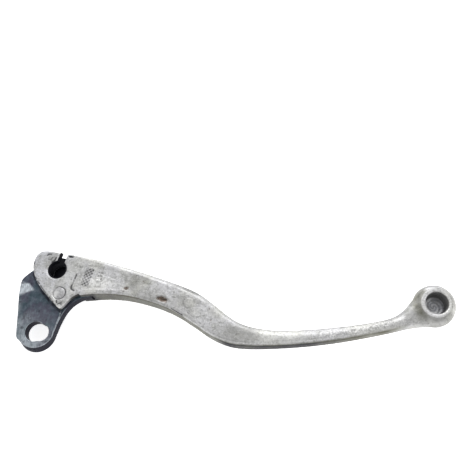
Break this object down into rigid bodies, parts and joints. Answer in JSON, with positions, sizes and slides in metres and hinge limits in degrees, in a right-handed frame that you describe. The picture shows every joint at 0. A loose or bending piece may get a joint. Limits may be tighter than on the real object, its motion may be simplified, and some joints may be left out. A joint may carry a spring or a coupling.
{
  "type": "motorcycle clutch lever",
  "caption": "Curved hand lever with a forked head riveted to a steel pivot arm, a cable-nipple socket and a flattened ball end.",
  "frame": {"origin": "centre of the pivot hole, half way through the pivot arm's thickness", "axes": "+X along the lever from the pivot to the ball end, +Y forward, away from the handlebar, +Z along the pivot axis, out of the lever's underside"},
  "size_m": [0.2059, 0.0487, 0.0114],
  "materials": {
    "cast_aluminium": "bare worn casting",
    "dark_steel": "oxidised, worn at the edges",
    "bright_steel": "peened and polished by wear",
    "black_nylon": "moulded, greasy"
  },
  "bodies": {
    "arm": {"pivot_arm": "dark_steel"},
    "blade": {"lever_blade": "cast_aluminium", "hinge_rivet": "bright_steel", "nipple_bush": "black_nylon"}
  },
  "joints": [
    {"name": "blade_fold", "type": "hinge", "parent": "arm", "child": "blade", "pos_m": [0.01, 0.018, 0], "axis": [0, 0, 1], "range_deg": [0, 12]}
  ]
}
